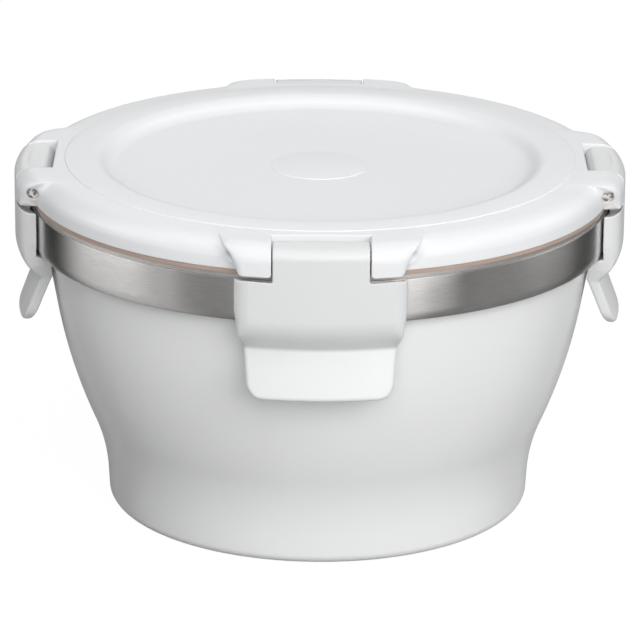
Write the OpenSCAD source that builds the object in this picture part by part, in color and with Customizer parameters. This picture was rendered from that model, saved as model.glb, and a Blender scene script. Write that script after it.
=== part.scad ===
// Insulated stainless bowl with a latched lid.
// A double walled steel bowl carries a clear width collar under its rim. The
// lid turns a plug into the mouth and four hinged latches hook under the collar.
// Origin at the middle of the foot, +Z up, one latch toward -Y.

/* [Bowl] */
// Height of the bowl to the top of its steel rim
bowl_h = 82; // [76:0.5:100]
// Lean of the wall just under the collar, in degrees from upright
neck_tilt = 10; // [8:0.5:12]
// Radius of the long outward curve of the belly
belly_round = 134; // [110:1:150]
// Steepest lean of the wall, in degrees from upright
flare_tilt = 23.4; // [21:0.2:24]
// Radius of the hollow curve above the foot
flare_round = 47.4; // [35:0.2:50]
// Height of the nearly upright foot wall
foot_wall_h = 7.2; // [6:0.1:9]
// Lean of the foot wall, in degrees from upright
foot_draft = 3.3; // [2:0.1:5]
// Radius of the rounded lower edge of the foot
foot_round = 2.6; // [2:0.1:4]
// Sheet thickness of the outer shell and of the inner liner
sheet_t = 0.6; // [0.4:0.1:0.9]
// Width of the vacuum space between shell and liner
vacuum_gap = 3.6; // [3:0.1:5]
// Height of the vacuum space under the liner's floor
floor_gap = 4.6; // [4:0.1:8]
// Radius of the corner between the liner's wall and its floor
bowl_corner_round = 14; // [8:0.5:20]

/* [Foot] */
// Width of the flat ring that the bowl rests on
foot_ring_w = 5.4; // [4:0.1:8]
// Height by which the base plate's middle is set up from the foot
base_recess = 2.4; // [1.5:0.1:3]
// Radius of the sealing plug in the base plate
plug_r = 3; // [2:0.1:5]
// Thickness of the sealing plug's head
plug_head_t = 0.5; // [0.3:0.1:0.8]
// Radius of the getter tablet inside the vacuum space
getter_r = 5; // [3:0.5:8]
// Thickness of the getter tablet
getter_t = 1.2; // [0.8:0.1:2]
// Distance of the getter tablet from the middle
getter_offset = 20; // [14:1:30]

/* [Collar] */
// Outside radius of the steel collar round the rim
collar_r = 74; // [70:0.5:90]
// Height of the collar
collar_h = 11.2; // [9:0.2:13]
// Distance by which the collar stands out from the wall under it
collar_reach = 3.6; // [3.2:0.1:5]
// Sheet thickness of the collar
collar_t = 0.8; // [0.6:0.1:1.1]
// Thickness of the steel rim that lies on the collar
rim_t = 0.8; // [0.6:0.1:1.2]
// Distance by which the rim's rounded edge lies inside the collar
rim_setback = 0.6; // [0.4:0.1:1]
// Radius of the collar's rounded edges
collar_edge_round = 0.4; // [0.3:0.1:0.5]

/* [Lid] */
// Distance by which the lid's skirt stands out from the collar
skirt_reach = 0.2; // [0:0.1:0.6]
// Height of the lid from its lower edge to its top
lid_h = 7.7; // [7.2:0.1:9]
// Radius of the rounded shoulder of the lid
shoulder_round = 4.7; // [3:0.1:5]
// Wall thickness of the lid's top
lid_t = 2.2; // [1.8:0.1:2.4]
// Wall thickness of the lid's skirt
skirt_t = 2.2; // [1.8:0.1:2.8]
// Width of the border from the skirt in to the fine step
border_w = 9.05; // [8.7:0.05:12]
// Height of the fine step
step_h = 0.25; // [0.1:0.05:0.4]
// Width of the flat ring inside the step
ring_w = 7.2; // [5:0.1:9]
// Width of the slope down to the dish
slope_w = 6.4; // [4:0.1:9]
// Depth of the dish under the ring
dish_depth = 3.1; // [2:0.1:4]
// Radius of the bare raised disc in the middle of the dish
disc_r = 12.34; // [8:0.1:20]
// Height of the raised disc
disc_h = 0.25; // [0.1:0.05:0.5]

/* [Plug] */
// Depth of the plug under the rim's top
plug_depth = 7; // [5:0.1:7.5]
// Wall thickness of the plug
plug_t = 1.4; // [1:0.1:2]
// Radius of the plug's rounded lower corner
plug_round = 2.4; // [1.6:0.1:4]
// Gap between the flange over the seal and the lugs' roots
plug_flange_gap = 0.15; // [0.1:0.05:0.8]
// Thickness of the flange over the seal
plug_flange_t = 1; // [0.8:0.1:1.6]

/* [Seal] */
// Thickness of the seal between rim and lid
seal_t = 1.2; // [1:0.1:1.6]
// Radius of the seal's rounded outer edges
seal_round = 0.3; // [0.2:0.05:0.5]
// Distance of the seal's outer edge inside the rim's edge
seal_setback = 0.1; // [0:0.1:0.6]
// Depth of the groove round the plug that holds the seal
seal_groove = 1; // [0.6:0.1:1.2]

/* [Lugs] */
// Distance by which the lugs stand out from the collar
lug_reach = 4.1; // [4:0.1:5]
// Width across a pair of lugs
lug_w = 41.8; // [40:0.2:46]
// Distance of the lugs' top under the lid's top
lug_sink = 0.1; // [0.05:0.05:0.3]
// Radius of the rounded outer shoulder of a lug
lug_round = 4.7; // [4:0.1:4.9]
// Radius of the hollow blend between lug and skirt
lug_blend = 2.4; // [1.6:0.1:2.6]
// Radius of the rounded upright outer edge of a lug
lug_edge_round = 1; // [0.6:0.1:1.2]
// Depth of the solid lug behind the hinge pin
lug_root = 6.1; // [5.9:0.1:6.3]

/* [Hinge] */
// Diameter of the hinge pins
pin_d = 3; // [2.4:0.1:3.2]
// Distance of the pin's axis from the lug's outer face
pin_inset = 5.85; // [5.6:0.05:6]
// Height of the pin's axis above the lid's lower edge
pin_rise = 3.55; // [3.5:0.05:3.8]
// Distance of each pin end inside the lug's side face
pin_end_inset = 0.3; // [0.1:0.1:1]
// Width of the latch's tongue between the lugs
tongue_w = 23.4; // [20:0.1:25]
// Largest swing radius of the tongue's inner end
tongue_nose_r = 3.9; // [3.7:0.05:3.95]
// Height of the tongue's top over the pin's axis
tongue_top = 2.25; // [2.15:0.05:2.4]
// Fall of the tongue's top from the pin to its outer edge
tongue_drop = 0.9; // [0.5:0.1:1.2]
// Radius of the tongue's rounded outer top edge
tongue_round = 1.4; // [1:0.1:1.6]
// Distance of the pocket's upper wall behind the pin's axis
pocket_depth = 4.9; // [4.4:0.1:5]

/* [Latches] */
// Thickness of the latch plate
latch_t = 3.6; // [3.2:0.1:4]
// Distance by which the latch plate is wider than the lugs, each side
latch_over = 0.1; // [0:0.1:0.6]
// Width of the slanted facet along each side of the plate
facet_w = 2.2; // [1.4:0.1:2.6]
// Depth of the slanted facet along each side of the plate
facet_depth = 2.6; // [1.6:0.1:3]
// Distance of the bend's start under the collar's top
bend_drop = 9.2; // [8:0.1:10]
// Radius of the outward bend under the plate
bend_round = 9; // [7:0.1:10]
// Turn of the bend, in degrees
bend_turn = 45; // [38:1:48]
// Height of the straight stretch between bend and tab
neck_run = 3.2; // [2.6:0.1:3.6]
// Radius of the hollow between neck and tab
neck_round = 1; // [0.8:0.1:2]
// Lean of the tab, in degrees from upright
tab_tilt = 20.5; // [18:0.5:23]
// Length of the tab along its slope
tab_l = 11.7; // [9:0.1:14]
// Thickness of the tab
tab_t = 2.6; // [2.2:0.1:2.8]
// Narrowing of the plate from its top to the bend, each side
plate_taper = 1.1; // [0.6:0.1:1.6]
// Narrowing of the neck under the plate, each side
neck_step = 1.5; // [1:0.1:2.2]
// Narrowing of the tab to its end, each side
tab_taper = 1.3; // [0.6:0.1:2]
// Radius of the tab's lower corners
tab_corner = 4.5; // [2:0.1:5]
// Reach of the hook under the collar
hook_reach = 3; // [2.4:0.1:3.1]
// Fall of the hook's top from the plate to its tip
hook_fall = 0.6; // [0.5:0.05:0.9]

/* [Clearances] */
// Gap between the collar and the closed latches
latch_gap = 0.4; // [0.35:0.05:0.6]
// Gap between the hook's top and the collar's lower edge
hook_gap = 0.4; // [0.35:0.05:0.6]
// Gap between moving latch and lug
swing_gap = 0.25; // [0.2:0.05:0.4]
// Gap between the tongue and each lug
tongue_gap = 0.3; // [0.2:0.05:0.5]
// Gap between the plug and the bowl's mouth
mouth_gap = 0.8; // [0.5:0.1:1.2]
// Gap round a pin in its lugs
pin_fit = 0.02; // [0.01:0.01:0.05]
// Gap round a pin in its latch
pin_run = 0.07; // [0.05:0.01:0.1]

/* [Hidden] */

$fn = 96;
// One overrun serves every cut
over = 1;
// Spare turn, in degrees, past the ends of a partly turned piece
turn_spare = 4;
// Share of the lug's blend that runs into the skirt, so that it ends on a clean edge
sink_share = 0.04;
// Share of the tongue's edge radius that lies under the end of its sloping top
edge_share = 0.7;
steel_colour = "lightsteelblue";
shell_colour = "whitesmoke";
lid_colour = "white";
latch_colour = "gainsboro";
seal_colour = "rosybrown";

// Heights along the axis
rim_z = bowl_h;
collar_top_z = rim_z - rim_t;
collar_low_z = collar_top_z - collar_h;
seal_top_z = rim_z + seal_t;
skirt_low_z = seal_top_z;
lid_top_z = skirt_low_z + lid_h;
pin_z = skirt_low_z + pin_rise;
plug_low_z = rim_z - plug_depth;

// Radii
neck_r = collar_r - collar_reach;
rim_r = collar_r - rim_setback;
skirt_r = collar_r + skirt_reach;
step_r = skirt_r - border_w;
lug_r = collar_r + lug_reach;
pin_r = lug_r - pin_inset;
plate_in_r = collar_r + latch_gap;
plate_out_r = plate_in_r + latch_t;
latch_w = lug_w + 2 * latch_over;
mouth_r = neck_r - sheet_t - vacuum_gap - sheet_t;
plug_r_out = mouth_r - mouth_gap;
seal_r = rim_r - seal_setback;
groove_r = plug_r_out - seal_groove;

// Points along a circular arc about (cx, cz), from angle a0 to a1
function arc(cx, cz, r, a0, a1, n) =
    [for (i = [0 : n]) let (a = a0 + (a1 - a0) * i / n) [cx + r * cos(a), cz + r * sin(a)]];

// The bowl's side. Its curve runs up the foot wall, round the hollow flare and
// the belly, and straight to the collar. The rise and run of each stretch:
flare_rise = flare_round * (sin(flare_tilt) - sin(foot_draft));
flare_run = flare_round * (cos(foot_draft) - cos(flare_tilt));
belly_rise = belly_round * (sin(flare_tilt) - sin(neck_tilt));
belly_run = belly_round * (cos(neck_tilt) - cos(flare_tilt));
flare_z = foot_wall_h;
belly_z = flare_z + flare_rise;
straight_z = belly_z + belly_rise;
straight_run = (collar_low_z - straight_z) * tan(neck_tilt);
belly_r = neck_r - straight_run - belly_run;
flare_r = belly_r - flare_run;
foot_r = flare_r - (foot_wall_h - foot_round) * tan(foot_draft);

// The same side moved inward by a wall thickness, as points from low to high
function side_points(inset) = concat(
    [[foot_r - inset / cos(foot_draft), foot_round]],
    arc(flare_r + flare_round * cos(foot_draft), flare_z - flare_round * sin(foot_draft),
        flare_round + inset, 180 - foot_draft, 180 - flare_tilt, 8),
    arc(belly_r - belly_round * cos(flare_tilt), belly_z + belly_round * sin(flare_tilt),
        belly_round - inset, -flare_tilt, -neck_tilt, 10),
    [[neck_r - inset, collar_low_z]]);

// Sheet steel shell: foot ring, rounded foot edge, side and straight neck
module outer_shell() {
    edge_r = foot_round - sheet_t;
    color(shell_colour)
    rotate_extrude()
    polygon(concat(
        [[foot_r - foot_round - foot_ring_w, 0]],
        arc(foot_r - foot_round, foot_round, foot_round, -90, 0, 6),
        side_points(0),
        [[neck_r, collar_top_z], [neck_r - sheet_t, collar_top_z]],
        reversed(side_points(sheet_t)),
        arc(foot_r - foot_round, foot_round, edge_r, 0, -90, 6),
        [[foot_r - foot_round - foot_ring_w, sheet_t]]));
}

function reversed(points) = [for (i = [len(points) - 1 : -1 : 0]) points[i]];

// Base plate: its rim lies on the foot ring and its middle is set up
module base_plate() {
    rim_out = foot_r - foot_round;
    rim_in = rim_out - foot_ring_w - base_recess;
    low = sheet_t;
    high = sheet_t + base_recess;
    color(steel_colour)
    rotate_extrude()
    polygon([
        [rim_out, low], [rim_out, low + sheet_t],
        [rim_in + base_recess, low + sheet_t], [rim_in, high + sheet_t],
        [plug_r, high + sheet_t], [plug_r, high],
        [rim_in, high], [rim_in + base_recess, low]]);
}

// Sealing plug in the hole of the base plate, with its head underneath
module vacuum_plug() {
    head_r = plug_r + sheet_t;
    z = sheet_t + base_recess;
    color(steel_colour)
    union() {
        translate([0, 0, z - plug_head_t]) cylinder(r = head_r, h = plug_head_t);
        translate([0, 0, z - plug_head_t]) cylinder(r = plug_r, h = sheet_t + plug_head_t);
    }
}

// Getter tablet that lies on the base plate inside the vacuum
module getter() {
    color(steel_colour)
    translate([getter_offset, 0, sheet_t + base_recess + sheet_t])
    cylinder(r = getter_r, h = getter_t);
}

// Inner liner: floor, rounded corner, side, upright mouth and turned-out rim
inner_inset = sheet_t + vacuum_gap + sheet_t;
outer_inset = sheet_t + vacuum_gap;
liner_low_z = sheet_t + base_recess + sheet_t + floor_gap;
corner_z = liner_low_z + sheet_t + bowl_corner_round;

// Radius of the liner's side at the height where its corner starts
function side_r(points, z, i = 0) =
    i + 1 >= len(points) || points[i + 1][1] >= z
        ? points[i][0] + (points[i + 1][0] - points[i][0]) * (z - points[i][1])
            / (points[i + 1][1] - points[i][1])
        : side_r(points, z, i + 1);

function liner_face(inset, low, round) =
    let (side = side_points(inset), z = low + round, r = side_r(side, z))
    concat([[0, low]], arc(r - round, z, round, -90, 0, 8),
        [for (p = side) if (p[1] > z + sheet_t) p]);

module inner_liner() {
    rim_round = rim_t / 2;
    color(steel_colour)
    rotate_extrude()
    polygon(concat(
        liner_face(outer_inset, liner_low_z, bowl_corner_round + sheet_t),
        [[neck_r - outer_inset, collar_top_z]],
        arc(rim_r - rim_round, collar_top_z + rim_round, rim_round, -90, 90, 6),
        arc(mouth_r + rim_t, rim_z - rim_t, rim_t, 90, 180, 4),
        reversed(liner_face(inner_inset, liner_low_z + sheet_t, bowl_corner_round))));
}

// Collar: a channel of sheet steel, open toward the shell
module rim_collar() {
    round = collar_edge_round;
    color(steel_colour)
    rotate_extrude()
    polygon(concat(
        [[neck_r, collar_low_z]],
        arc(collar_r - round, collar_low_z + round, round, -90, 0, 3),
        arc(collar_r - round, collar_top_z - round, round, 0, 90, 3),
        [[neck_r, collar_top_z], [neck_r, collar_top_z - collar_t],
         [collar_r - collar_t, collar_top_z - collar_t],
         [collar_r - collar_t, collar_low_z + collar_t],
         [neck_r, collar_low_z + collar_t]]));
}

// Lid: the ring, the dish and the skirt, turned in one piece
dish_r = step_r - ring_w - slope_w;
ring_z = lid_top_z + step_h;
dish_z = ring_z - dish_depth;
slope_turn = 2 * atan(dish_depth / slope_w);
slope_round = slope_w / 2 / sin(slope_turn);

module lid_turning() {
    rotate_extrude()
    polygon(concat(
        [[0, dish_z + disc_h], [disc_r, dish_z + disc_h], [disc_r, dish_z]],
        arc(dish_r, dish_z + slope_round, slope_round, -90, slope_turn - 90, 4),
        arc(dish_r + slope_w, ring_z - slope_round, slope_round, 90 + slope_turn, 90, 4),
        [[step_r, ring_z], [step_r, lid_top_z]],
        arc(skirt_r - shoulder_round, lid_top_z - shoulder_round, shoulder_round, 90, 0, 8),
        [[skirt_r, skirt_low_z], [skirt_r - skirt_t, skirt_low_z],
         [skirt_r - skirt_t, lid_top_z - lid_t - skirt_t],
         [skirt_r - skirt_t - skirt_t, lid_top_z - lid_t],
         [dish_r + slope_w, lid_top_z - lid_t],
         [dish_r, dish_z - lid_t], [0, dish_z - lid_t]]));
}

// Plan outline of a pair of lugs, with hollow blends into the skirt
lug_half = lug_w / 2;
blend_x = lug_half + lug_blend;
blend_sink = lug_blend * sink_share;
blend_from_r = skirt_r - blend_sink;
blend_y = sqrt(pow(blend_from_r + lug_blend, 2) - pow(blend_x, 2));
edge_x = lug_half - lug_edge_round;
edge_y = sqrt(pow(lug_r - lug_edge_round, 2) - pow(edge_x, 2));
blend_share = blend_from_r / (blend_from_r + lug_blend);

module lug_outline() {
    root_y = pin_r - lug_root;
    difference() {
        union() {
            intersection() {
                circle(r = lug_r);
                polygon([
                    [-edge_x, -root_y], [edge_x, -root_y],
                    [lug_half, -root_y], [lug_half, -edge_y],
                    [edge_x, -edge_y - lug_edge_round], [edge_x, -lug_r - over],
                    [-edge_x, -lug_r - over], [-edge_x, -edge_y - lug_edge_round],
                    [-lug_half, -edge_y], [-lug_half, -root_y]]);
            }
            for (side = [-1, 1])
                translate([side * edge_x, -edge_y]) circle(r = lug_edge_round);
            for (side = [-1, 1])
                polygon([
                    [side * (lug_half - over), -root_y], [side * blend_x * blend_share, -root_y],
                    [side * blend_x * blend_share, -blend_y], [side * (lug_half - over), -blend_y]]);
        }
        for (side = [-1, 1])
            translate([side * blend_x, -blend_y]) circle(r = lug_blend);
    }
}

// Section of a lug from the lid's middle outward
module lug_section() {
    root_r = skirt_r - shoulder_round;
    top_z = lid_top_z - lug_sink;
    polygon(concat(
        [[step_r, skirt_low_z], [lug_r, skirt_low_z]],
        arc(lug_r - lug_round, top_z - lug_round, lug_round, 0, 90, 8),
        [[root_r, top_z], [root_r, lid_top_z - lid_t / 2], [step_r, lid_top_z - lid_t / 2]]));
}

// Arc that a pair of lugs takes, with room for its blends
lug_turn = 2 * asin(blend_x / skirt_r) + turn_spare;

module lug_block() {
    intersection() {
        translate([0, 0, skirt_low_z - over]) linear_extrude(lid_h + over + over) lug_outline();
        rotate([0, 0, -90 - lug_turn / 2]) rotate_extrude(angle = lug_turn) lug_section();
    }
}

// Places a shape that is drawn along the pin, at the front latch's axis
module at_pin() {
    translate([0, -pin_r, pin_z]) rotate([0, 90, 0]) children();
}

module pin_rod(r, length) {
    at_pin() translate([0, 0, -length / 2]) cylinder(r = r, h = length);
}

// Pocket between the lugs in which the tongue swings
pocket_w = tongue_w + 2 * tongue_gap;
pocket_r = tongue_nose_r + swing_gap;
// Share of the pocket's radius that stays open behind the pin at the lid's lower edge
nose_low_share = sqrt(1 - pow(min(pin_rise / pocket_r, 1), 2));

module pocket() {
    reach = pin_inset + over;
    translate([-pocket_w / 2, -lug_r - over, pin_z])
    cube([pocket_w, reach + pocket_depth, lid_h]);
    translate([-pocket_w / 2, -lug_r - over, skirt_low_z - over])
    cube([pocket_w, reach + pocket_r * nose_low_share, pin_rise + over + over / 2]);
    pin_rod(pocket_r, pocket_w);
}

// Lid cover: the turning and its lugs, less the pockets and the pins' bores
module lid_cover() {
    color(lid_colour)
    difference() {
        union() {
            lid_turning();
            for (turn = [0 : 90 : 270]) rotate([0, 0, turn]) lug_block();
        }
        for (turn = [0 : 90 : 270])
            rotate([0, 0, turn]) {
                pocket();
                pin_rod(pin_d / 2 + pin_fit, lug_w + 4 * lug_blend);
            }
    }
}

// Plug: floor, rounded corner, wall, groove for the seal, flange and stem
module lid_liner() {
    stem_top = lid_top_z - lid_t;
    in_r = groove_r - plug_t;
    flange_r = pin_r - lug_root - plug_flange_gap;
    color(lid_colour)
    rotate_extrude()
    polygon(concat(
        [[0, plug_low_z]],
        arc(plug_r_out - plug_round, plug_low_z + plug_round, plug_round, -90, 0, 5),
        [[plug_r_out, rim_z], [groove_r, rim_z], [groove_r, seal_top_z],
         [flange_r, seal_top_z], [flange_r, seal_top_z + plug_flange_t],
         [groove_r, seal_top_z + plug_flange_t], [groove_r, stem_top], [in_r, stem_top],
         [in_r, plug_low_z + plug_round], [in_r - plug_round + plug_t, plug_low_z + plug_t],
         [0, plug_low_z + plug_t]]));
}

// Silicone seal: held in the plug's groove, hollowed where the tongues swing
module lid_seal() {
    color(seal_colour)
    difference() {
        rotate_extrude()
        polygon(concat(
            [[groove_r, rim_z]],
            arc(seal_r - seal_round, rim_z + seal_round, seal_round, -90, 0, 3),
            arc(seal_r - seal_round, seal_top_z - seal_round, seal_round, 0, 90, 3),
            [[groove_r, seal_top_z]]));
        for (turn = [0 : 90 : 270]) rotate([0, 0, turn]) pin_rod(pocket_r, pocket_w);
    }
}

// Hinge pin of the front latch
module hinge_pin() {
    color(steel_colour) pin_rod(pin_d / 2, lug_w - 2 * pin_end_inset);
}

// Side view of a latch from the tongue's top down, as radius and height
bend_z = collar_top_z - bend_drop;
bend_end = [plate_out_r - bend_round * (1 - cos(bend_turn)), bend_z - bend_round * sin(bend_turn)];
neck_out = [bend_end[0] - neck_run * sin(bend_turn), bend_end[1] - neck_run * cos(bend_turn)];
tab_end = [neck_out[0] + tab_l * sin(tab_tilt), neck_out[1] - tab_l * cos(tab_tilt)];
tab_in = [tab_end[0] - tab_t * cos(tab_tilt), tab_end[1] - tab_t * sin(tab_tilt)];
neck_in = [neck_out[0] - tab_t * cos(tab_tilt), neck_out[1] - tab_t * sin(tab_tilt)];
neck_turn = bend_turn + tab_tilt;
neck_cut = neck_round * tan(neck_turn / 2);
hook_r = collar_r - hook_reach;
hook_z = collar_low_z - hook_gap;
hook_tip_z = hook_z - hook_fall;
// Behind the hook the rib follows the lean of the bowl's wall, down to the tab's inner face
rib_z = (neck_in[0] + neck_in[1] * tan(tab_tilt) - hook_r + hook_tip_z * tan(neck_tilt))
    / (tan(tab_tilt) + tan(neck_tilt));
rib_r = hook_r - (hook_tip_z - rib_z) * tan(neck_tilt);

module latch_section() {
    low = [neck_out[0] + neck_cut * sin(tab_tilt), neck_out[1] - neck_cut * cos(tab_tilt)];
    hollow = [low[0] + neck_round * cos(tab_tilt), low[1] + neck_round * sin(tab_tilt)];
    tip = [(tab_end[0] + tab_in[0]) / 2, (tab_end[1] + tab_in[1]) / 2];
    edge_r = plate_out_r - tongue_round;
    edge_z = pin_z + tongue_top - tongue_drop - tongue_round * edge_share;
    polygon(concat(
        [[hook_r, hook_tip_z], [plate_in_r, hook_z], [plate_in_r, pin_z + tongue_top],
         [edge_r, pin_z + tongue_top]],
        arc(edge_r, edge_z, tongue_round, 90, 0, 6),
        arc(plate_out_r - bend_round, bend_z, bend_round, 0, -bend_turn, 8),
        arc(hollow[0], hollow[1], neck_round, 180 - bend_turn, 180 + tab_tilt, 6),
        arc(tip[0], tip[1], tab_t / 2, tab_tilt, tab_tilt - 180, 8),
        [[rib_r, rib_z]]));
}

// Front view of a latch, as width and height
module latch_outline() {
    half = latch_w / 2;
    waist = half - plate_taper;
    neck = waist - neck_step;
    tab = neck - tab_taper;
    tip_z = tab_end[1] - tab_t / 2;
    taper_z = bend_z + plate_taper;
    waist_z = bend_end[1] + plate_taper;
    top_z = pin_z + tongue_top + over;
    corner_z = tip_z + tab_corner;
    difference() {
        polygon([
            [-half, top_z], [-half, taper_z], [-waist, waist_z], [-neck, neck_out[1]],
            [-tab, corner_z], [-tab, tip_z], [tab, tip_z], [tab, corner_z],
            [neck, neck_out[1]], [waist, waist_z], [half, taper_z], [half, top_z]]);
        for (side = [-1, 1])
            difference() {
                translate([side * (tab - tab_corner / 2 + over / 2), tip_z + tab_corner / 2 - over / 2])
                square([tab_corner + over, tab_corner + over], center = true);
                translate([side * (tab - tab_corner), corner_z]) circle(r = tab_corner);
            }
    }
}

// Room that the lugs' lower edges need while the latch turns about its pin
module swing_relief() {
    steps = 8;
    half = latch_w / 2 + over;
    tongue_half = tongue_w / 2;
    for (side = [0, 1])
        mirror([side, 0, 0])
        at_pin()
        rotate_extrude()
        polygon(concat(
            [[0, tongue_half]],
            [for (i = [0 : steps]) let (x = tongue_half + (half - tongue_half) * i / steps)
                [norm([sqrt(pow(lug_r, 2) - pow(x, 2)) - pin_r, pin_rise]) + swing_gap, x]],
            [[0, half]]));
}

// Space outside the slanted facets along the plate's sides
module beside_facets() {
    half = latch_w / 2;
    face_y = sqrt(pow(plate_out_r, 2) - pow(half - facet_w, 2));
    for (side = [0, 1])
        mirror([side, 0, 0])
        translate([0, 0, neck_out[1]])
        linear_extrude(lug_r)
        polygon([
            [half - facet_w, -face_y], [half, -face_y + facet_depth],
            [half + over, -face_y + facet_depth], [half + over, -lug_r - over],
            [half - facet_w, -lug_r - over]]);
}

// Space over the sloping top of the tongue
module over_tongue() {
    reach = plate_out_r - pin_r;
    slope = tongue_drop / reach;
    at_pin()
    translate([0, 0, -tongue_w / 2 - over])
    linear_extrude(tongue_w + over + over)
    polygon([
        [-tongue_top - slope * (tongue_nose_r + over), tongue_nose_r + over],
        [-tongue_top + slope * (reach + over), -reach - over],
        [-tongue_top - lid_h, -reach - over],
        [-tongue_top - lid_h, tongue_nose_r + over]]);
}

latch_turn = 2 * asin(latch_w / 2 / hook_r) + turn_spare;

module latch() {
    color(latch_colour)
    difference() {
        union() {
            difference() {
                intersection() {
                    rotate([0, 0, -90 - latch_turn / 2])
                    rotate_extrude(angle = latch_turn) latch_section();
                    rotate([90, 0, 0]) linear_extrude(lug_r + over) latch_outline();
                }
                swing_relief();
                beside_facets();
            }
            pin_rod(tongue_nose_r, tongue_w);
        }
        pin_rod(pin_d / 2 + pin_run, tongue_w + over);
        over_tongue();
    }
}

module pin_front() { hinge_pin(); }
module pin_right() { rotate([0, 0, 90]) hinge_pin(); }
module pin_back() { rotate([0, 0, 180]) hinge_pin(); }
module pin_left() { rotate([0, 0, 270]) hinge_pin(); }
module latch_front() { latch(); }
module latch_right() { rotate([0, 0, 90]) latch(); }
module latch_back() { rotate([0, 0, 180]) latch(); }
module latch_left() { rotate([0, 0, 270]) latch(); }

outer_shell();
base_plate();
vacuum_plug();
getter();
inner_liner();
rim_collar();
lid_cover();
lid_liner();
lid_seal();
pin_front();
pin_right();
pin_back();
pin_left();
latch_front();
latch_right();
latch_back();
latch_left();
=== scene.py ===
import math

import bmesh
import bpy
import numpy as np
from mathutils import Matrix, Vector


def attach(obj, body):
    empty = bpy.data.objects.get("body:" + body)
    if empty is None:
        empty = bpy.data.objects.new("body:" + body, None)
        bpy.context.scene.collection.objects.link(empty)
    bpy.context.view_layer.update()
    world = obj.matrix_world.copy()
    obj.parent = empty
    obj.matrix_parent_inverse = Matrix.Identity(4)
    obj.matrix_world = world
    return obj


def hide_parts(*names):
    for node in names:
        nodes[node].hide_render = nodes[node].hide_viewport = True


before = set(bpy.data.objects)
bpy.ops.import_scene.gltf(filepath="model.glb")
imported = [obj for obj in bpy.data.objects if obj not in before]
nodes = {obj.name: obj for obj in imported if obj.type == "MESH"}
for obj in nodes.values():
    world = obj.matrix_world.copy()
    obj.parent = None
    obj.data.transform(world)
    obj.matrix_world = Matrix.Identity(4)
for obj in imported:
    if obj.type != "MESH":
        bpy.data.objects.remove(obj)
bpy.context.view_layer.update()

# All sizes are in millimetres, in the frame of the solids. Meshes are scaled to metres at the end.
MM = 0.001

# Bowl
BOWL_H = 82.0
RIM_T = 0.8
RIM_R = 73.55
RIM_EDGE_H = 1.15
RIM_EDGE_ROUND = 0.18
COLLAR_R = 74.0
COLLAR_H = 11.2
COLLAR_REACH = 3.6
COLLAR_TOP_ROUND = 0.05
COLLAR_LOW_ROUND = 0.75
COLLAR_ROLL = 7.0
COLLAR_ROLL_TURN = 16.0
SHEET_T = 0.6
VACUUM_GAP = 3.6
FLOOR_Z = 8.2
BOWL_CORNER = 14.0
NECK_TILT = math.radians(10)
BELLY_ROUND = 134.0
FLARE_TILT = math.radians(23.4)
FLARE_ROUND = 47.4
FOOT_WALL_H = 7.2
FOOT_DRAFT = math.radians(3.3)
FOOT_ROUND = 2.6
FOOT_RING_W = 5.4

# Lid
SEAL_T = 1.2
SEAL_R = 73.95
SEAL_IN = 63.8
SEAL_ROUND = 0.12
SKIRT_R = 74.2
SKIRT_T = 2.2
LID_H = 7.7
LID_T = 2.2
SHOULDER_ROUND = 5.2
BORDER_FALL = 0.3
STEP_R = 65.15
STEP_H = 0.25
RING_W = 7.2
SLOPE_W = 6.4
DISH_DEPTH = 3.1
DISC_R = 12.34
DISC_H = 0.18
STEP_ROUND = 0.22
SKIRT_EDGE = 0.15

# Lugs and hinge
LUG_R = 78.1
LUG_HALF = 20.9
LUG_SINK = 0.1
LUG_LOW = 82.8
SHOULDER_GAP = 0.6
LUG_ROUND = 4.7
LUG_EDGE_IN = 2.0
LUG_JOINT = -0.6
LUG_JOINT_TOP = 3.9
LUG_END = 2.2
LUG_END_TOP = 10.0
LUG_JOINT_SHARE = 0.6
LUG_FLARE_POWER = 1.7
LUG_FOOT_EDGE = 0.3
LUG_ROOT_DEPTH = 6.1
LUG_CORNER = 0.9
LUG_FACE_REACH = 25.0
PIN_R = 1.5
PIN_OUT = 72.25
PIN_RISE = 3.55
BORE_ROUND = 0.45
LID_BORE_GAP = 0.05
LATCH_BORE_GAP = 0.07
LATCH_BORE_ROUND = 0.1
TONGUE_HALF = 11.7
TONGUE_GAP = 0.3
NOSE_R = 3.9
SWING_GAP = 0.25
POCKET_DEPTH = 4.5
POCKET_LOW_SHARE = 0.52
POCKET_LOW_RISE = 0.5
POCKET_EDGE = 0.35
TONGUE_TOP = 3.35
TONGUE_EDGE = 3.0
TONGUE_BACK_ROUND = 0.4

# Latches
PLATE_IN = 74.4
PLATE_OUT = 78.0
LATCH_HALF = 21.0
BEND_DROP = 9.2
BEND_ROUND = 9.0
BEND_TURN = math.radians(45)
NECK_RUN = 3.2
NECK_ROUND = 1.0
TAB_TILT = math.radians(20.5)
TAB_L = 11.7
TAB_T = 2.6
PLATE_TAPER = 1.1
NECK_STEP = 1.25
TAB_TAPER = 0.62
TAB_CORNER = 4.5
HOOK_REACH = 3.0
HOOK_GAP = 0.4
HOOK_FALL = 0.6
FACET_W = 2.2
FACET_DEPTH = 2.6
FACET_ROUND = 0.9
RELIEF_CORNER = 0.4
RELIEF_EDGE = 0.35
KNUCKLE_EDGE = 0.3
LATCH_EDGE = 0.45
TAB_EDGE = 0.9

# Heights that follow from the sizes above
COLLAR_TOP = BOWL_H - RIM_T
COLLAR_LOW = COLLAR_TOP - COLLAR_H
LID_LOW = BOWL_H + SEAL_T
LID_TOP = LID_LOW + LID_H
RING_TOP = LID_TOP + STEP_H
PIN_Z = LID_LOW + PIN_RISE
NECK_R = COLLAR_R - COLLAR_REACH

# Spacing of the grids from which the lid's ring and the latches are made
LID_GRID = 0.28
LATCH_GRID = 0.28

SIDES = ("front", "right", "back", "left")


# Plane curves

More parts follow.
